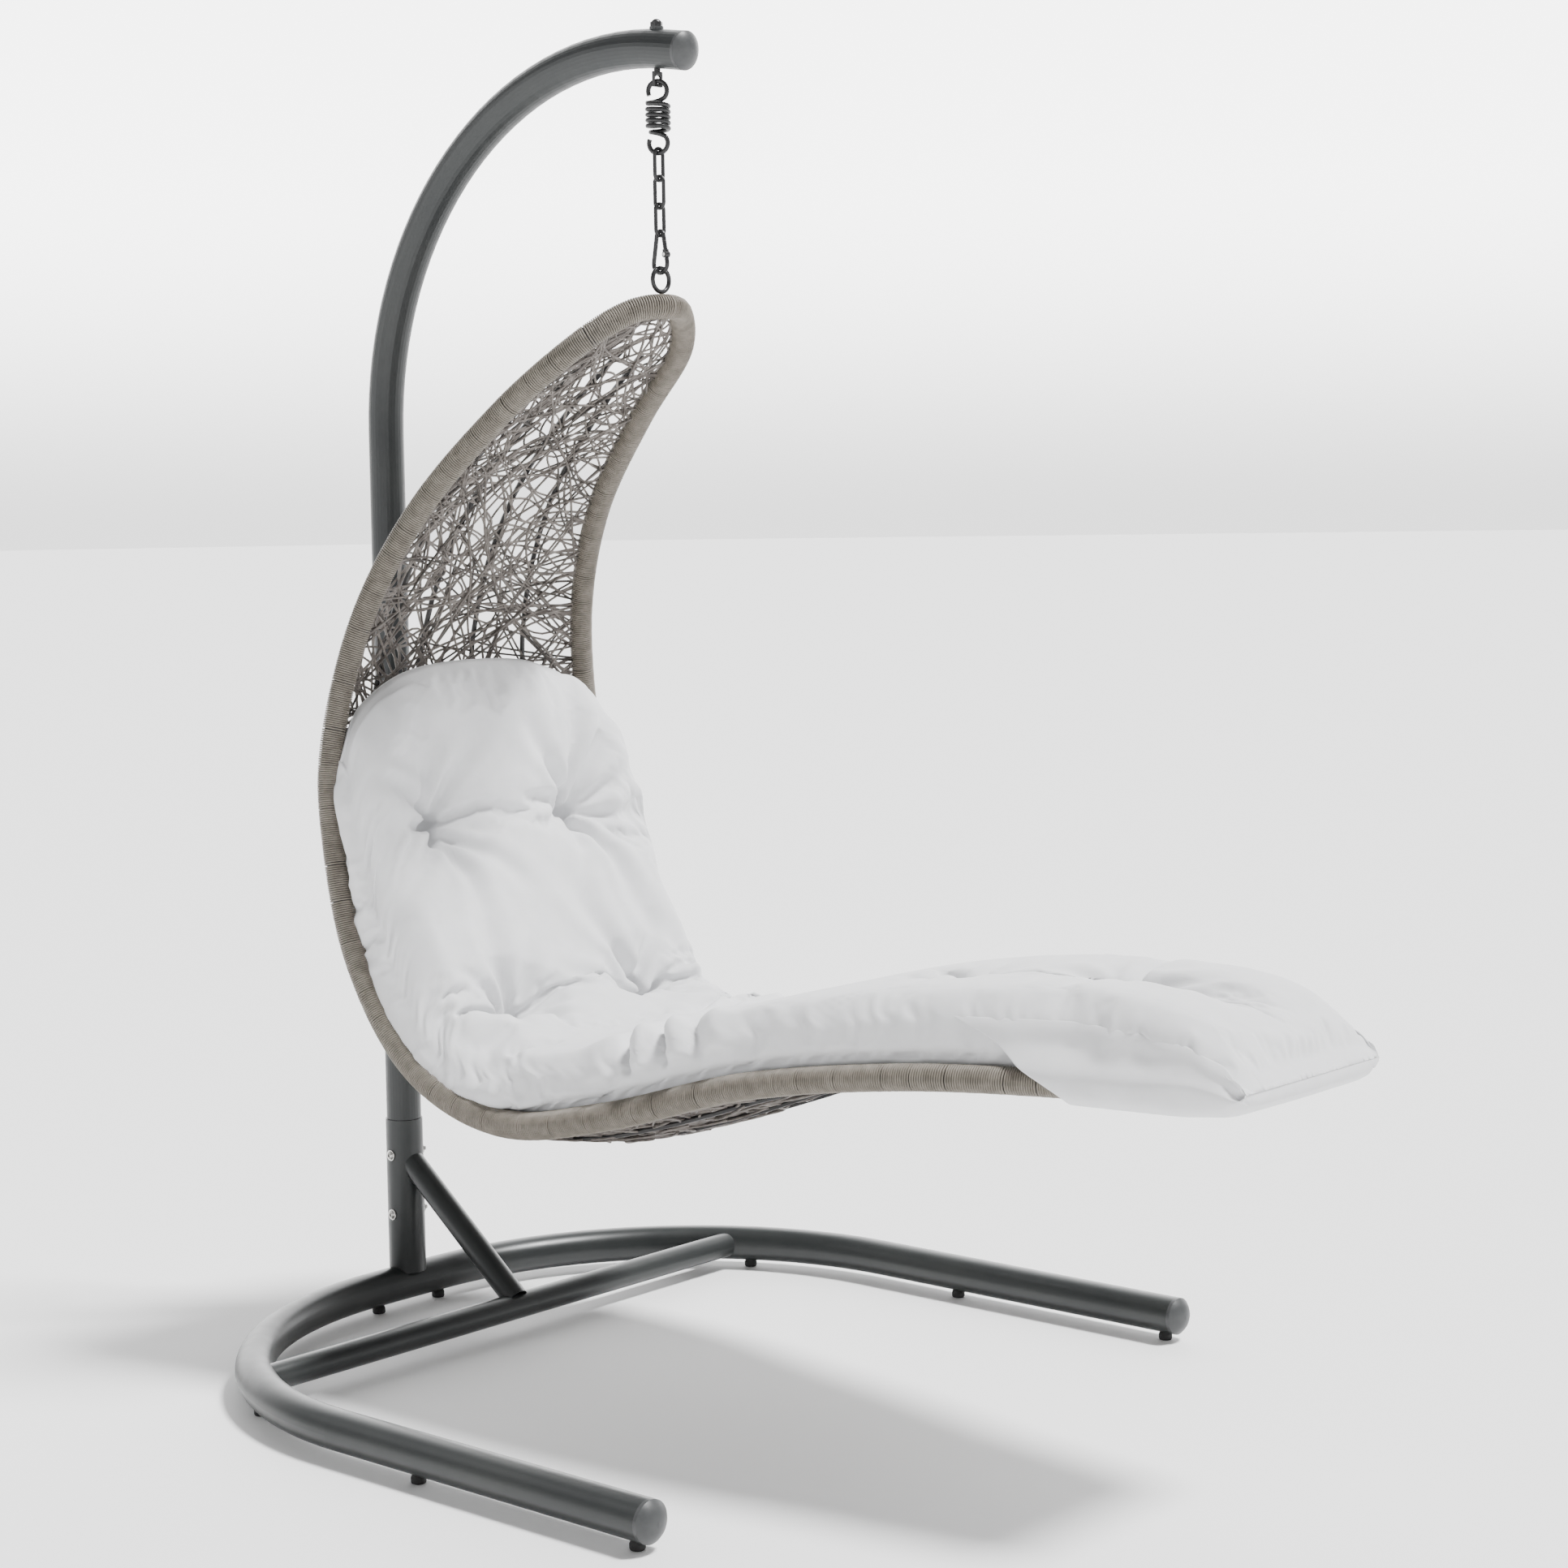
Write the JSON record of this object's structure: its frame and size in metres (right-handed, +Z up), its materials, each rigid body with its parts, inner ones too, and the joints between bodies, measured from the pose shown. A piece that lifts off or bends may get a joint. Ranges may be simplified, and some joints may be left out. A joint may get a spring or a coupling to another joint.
{
  "type": "porch swing",
  "caption": "Hanging chaise lounge swing: an arched floor stand carries a long wicker seat with a tufted cushion on a spring, chain and snap hook.",
  "frame": {"origin": "on the floor, under the middle of the whole swing's bounding box", "axes": "+X towards the foot end, +Y to the sitter's left, +Z up"},
  "size_m": [1.8185, 1.306, 2.1021],
  "materials": {
    "stand_coat": "satin anthracite powder coat",
    "end_cap_plastic": "moulded, satin",
    "zinc_hardware": "zinc plated",
    "glide_rubber": "matt",
    "black_steel": "black coated, satin",
    "frame_steel": "black coated",
    "rim_wicker": "round synthetic strand, satin",
    "basket_wicker": "round synthetic strand, satin",
    "cushion_fabric": "woven polyester, matt"
  },
  "bodies": {
    "stand": {"base_tube": "stand_coat", "leg_end_caps": "end_cap_plastic", "glide_studs": "zinc_hardware", "floor_glides": "glide_rubber", "crossbar": "stand_coat", "brace": "stand_coat", "post_sleeve": "stand_coat", "sleeve_bolts": "zinc_hardware", "sleeve_washers": "zinc_hardware", "sleeve_nuts": "zinc_hardware", "mast": "stand_coat", "mast_end_cap": "end_cap_plastic", "hanger_bolt": "black_steel", "hanger_washer": "end_cap_plastic", "dome_nut": "black_steel"},
    "spring_top": {"spring_top_hook": "black_steel", "spring_coil": "black_steel"},
    "spring_bottom": {"spring_bottom_hook": "black_steel"},
    "chain_link_1": {"chain_link_1": "black_steel"},
    "chain_link_2": {"chain_link_2": "black_steel"},
    "chain_link_3": {"chain_link_3": "black_steel"},
    "snap_hook": {"snap_hook": "black_steel", "gate_rivet": "zinc_hardware"},
    "gate": {"snap_gate": "black_steel"},
    "chair": {"rim_ring": "black_steel", "rim_tube_left": "frame_steel", "rim_tube_right": "frame_steel", "rim_wrap_left": "rim_wicker", "rim_wrap_right": "rim_wicker", "back_ribs": "frame_steel", "back_spreaders": "frame_steel", "basket_weave": "basket_wicker", "seat_cushion": "cushion_fabric", "foot_pocket": "cushion_fabric"}
  },
  "joints": [
    {"name": "spring_swing", "type": "hinge", "parent": "stand", "child": "spring_top", "pos_m": [-0.23775, 0, 2.00259], "axis": [0, -1, 0], "range_deg": [-1.2, 12]},
    {"name": "spring_stretch", "type": "slide", "parent": "spring_top", "child": "spring_bottom", "axis": [0, 0, -1], "range_m": [0, 0.025], "stiffness_N_per_m": 30000, "springref_m": -0.028, "deforming": ["spring_coil"]},
    {"name": "chain_side_swing", "type": "hinge", "parent": "spring_bottom", "child": "chain_link_1", "pos_m": [-0.23775, 0, 1.90064], "axis": [1, 0, 0], "range_deg": [-12, 12]},
    {"name": "chain_swing", "type": "hinge", "parent": "chain_link_1", "child": "chain_link_2", "pos_m": [-0.23775, 0, 1.8597], "axis": [0, -1, 0], "range_deg": [-1.2, 12]},
    {"name": "chain_twist", "type": "hinge", "parent": "chain_link_2", "child": "chain_link_3", "pos_m": [-0.23775, 0, 1.818], "axis": [0, 0, 1], "range_deg": [-15, 15]},
    {"name": "hook_swing", "type": "hinge", "parent": "chain_link_3", "child": "snap_hook", "pos_m": [-0.23775, 0, 1.77629], "axis": [0, -1, 0], "range_deg": [-1.2, 12]},
    {"name": "chair_side_swing", "type": "hinge", "parent": "snap_hook", "child": "chair", "pos_m": [-0.23775, 0, 1.72009], "axis": [1, 0, 0], "range_deg": [-12, 12]},
    {"name": "gate_turn", "type": "hinge", "parent": "snap_hook", "child": "gate", "pos_m": [-0.22578, 0, 1.74727], "axis": [0, -1, 0], "range_deg": [0, 25], "stiffness_Nm_per_rad": 0.05, "springref_deg": -17.19}
  ]
}
